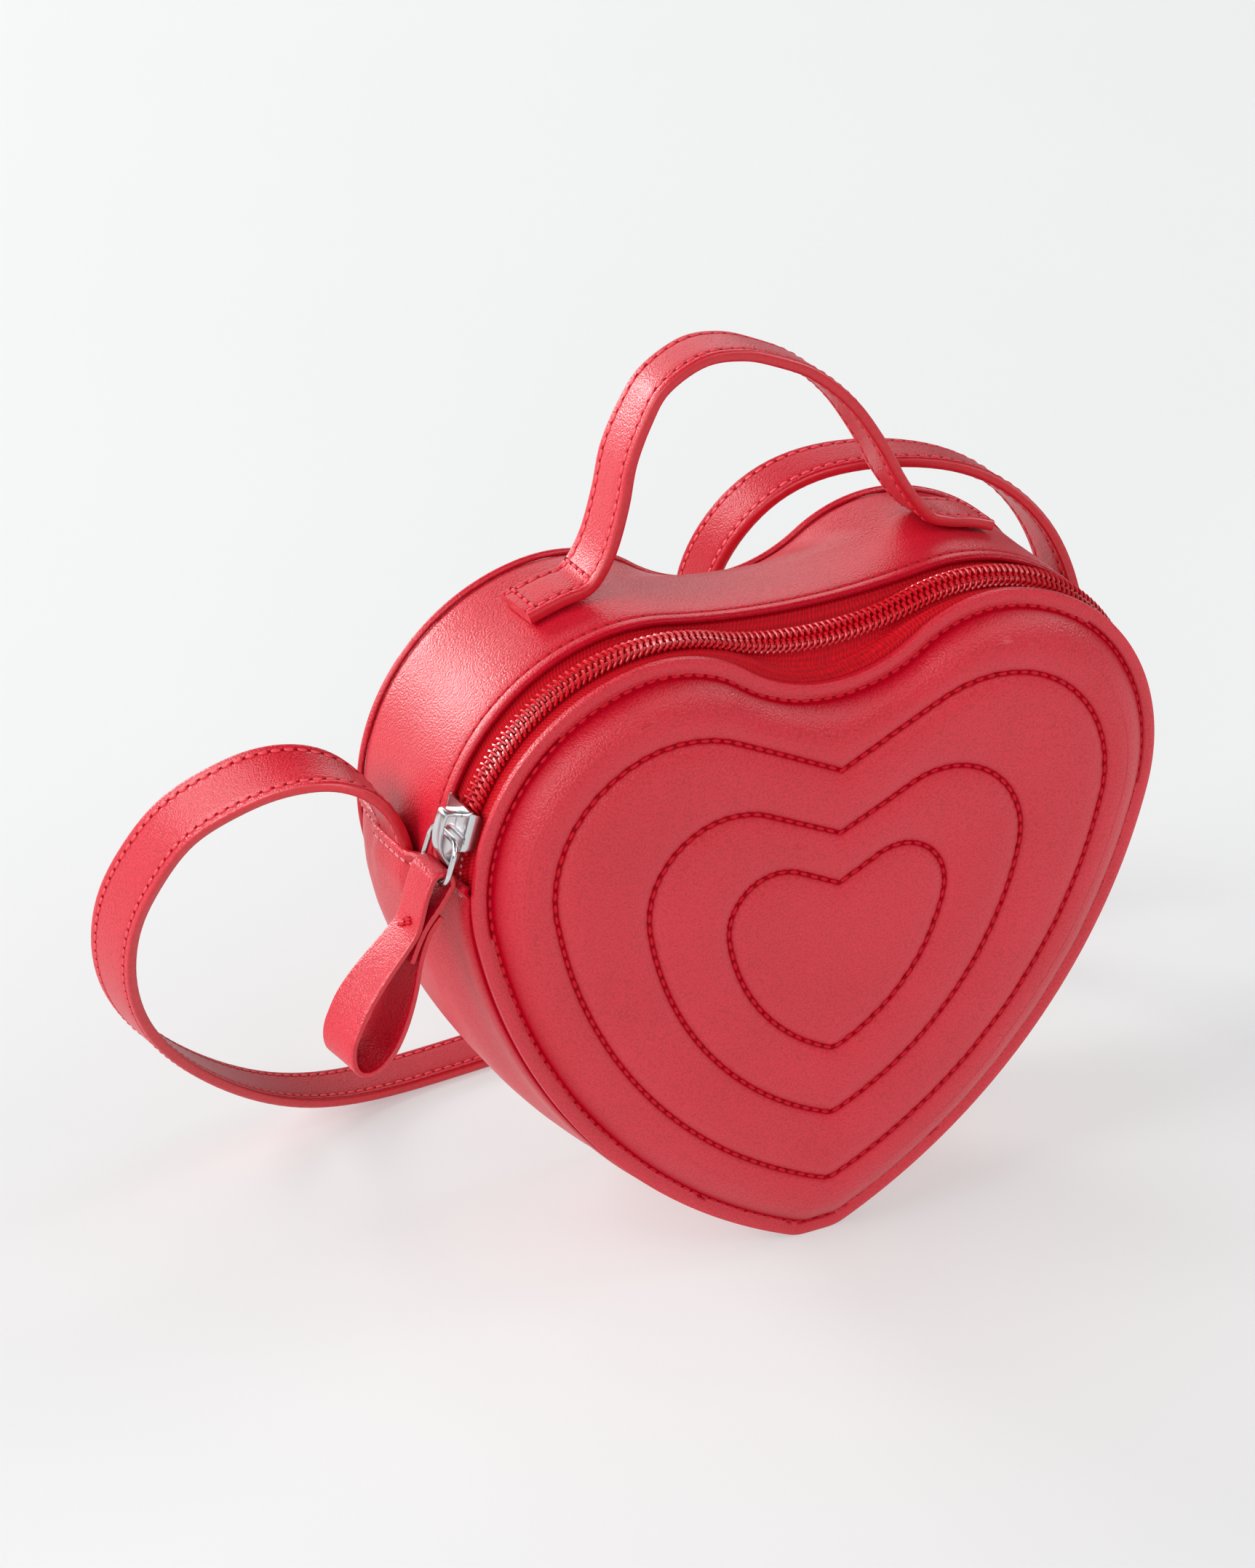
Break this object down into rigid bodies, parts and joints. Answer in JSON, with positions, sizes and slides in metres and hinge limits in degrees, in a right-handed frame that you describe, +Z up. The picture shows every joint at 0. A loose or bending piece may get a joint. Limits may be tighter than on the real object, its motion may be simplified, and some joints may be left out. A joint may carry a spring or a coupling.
{
  "type": "heart shaped purse",
  "caption": "Heart shaped purse with a padded quilted front, boxed body, coil zip over the top, folded leather pull, carrying handle and flat shoulder strap.",
  "frame": {"origin": "on the flat of the resting tip, halfway between the front rim and the back face", "axes": "+X to the right as seen from the front, +Y from the front to the back, +Z up"},
  "size_m": [0.2721, 0.1315, 0.2196],
  "materials": {
    "red_leather": "satin, fine pressed grain",
    "lining": "matte woven",
    "padding": "matte foam",
    "board": "matte",
    "zip_tape": "matte herringbone weave",
    "zip_coil": "glossy",
    "metal": "polished"
  },
  "bodies": {
    "bag": {"front_panel_lower": "red_leather", "front_pad_lower": "padding", "front_lining_lower": "lining", "zip_tape_front_ends": "zip_tape", "zip_tape_back": "zip_tape", "zip_coil_front_ends": "zip_coil", "zip_coil_back": "zip_coil", "gusset_upper": "red_leather", "gusset_lower": "red_leather", "gusset_lining_upper": "lining", "gusset_lining_lower": "lining", "back_panel": "red_leather", "back_board": "board", "back_lining": "lining", "back_welt": "red_leather", "handle_face": "red_leather", "handle_backing": "red_leather", "strap_face": "red_leather", "strap_backing": "red_leather"},
    "front_flap": {"front_panel_upper": "red_leather", "front_pad_upper": "padding", "front_lining_upper": "lining", "zip_tape_front": "zip_tape", "zip_coil_front": "zip_coil"},
    "slider": {"zip_slider": "metal"},
    "ring": {"pull_ring": "metal"},
    "pull": {"zip_pull": "red_leather"}
  },
  "joints": [
    {"name": "slider_travel", "type": "hinge", "parent": "bag", "child": "slider", "pos_m": [-0.0403, -0.02, 0.1118], "axis": [0, 1, 0], "range_deg": [0, 85]},
    {"name": "ring_swing", "type": "hinge", "parent": "slider", "child": "ring", "pos_m": [-0.09248, -0.02, 0.12647], "axis": [0, 1, 0], "range_deg": [0, 90]},
    {"name": "pull_swing", "type": "hinge", "parent": "ring", "child": "pull", "pos_m": [-0.09569, -0.02, 0.11658], "axis": [0, 1, 0], "range_deg": [-20, 60]},
    {"name": "flap_fold", "type": "hinge", "parent": "bag", "child": "front_flap", "pos_m": [0, -0.03525, 0.136], "axis": [1, 0, 0], "range_deg": [0, 60]}
  ]
}
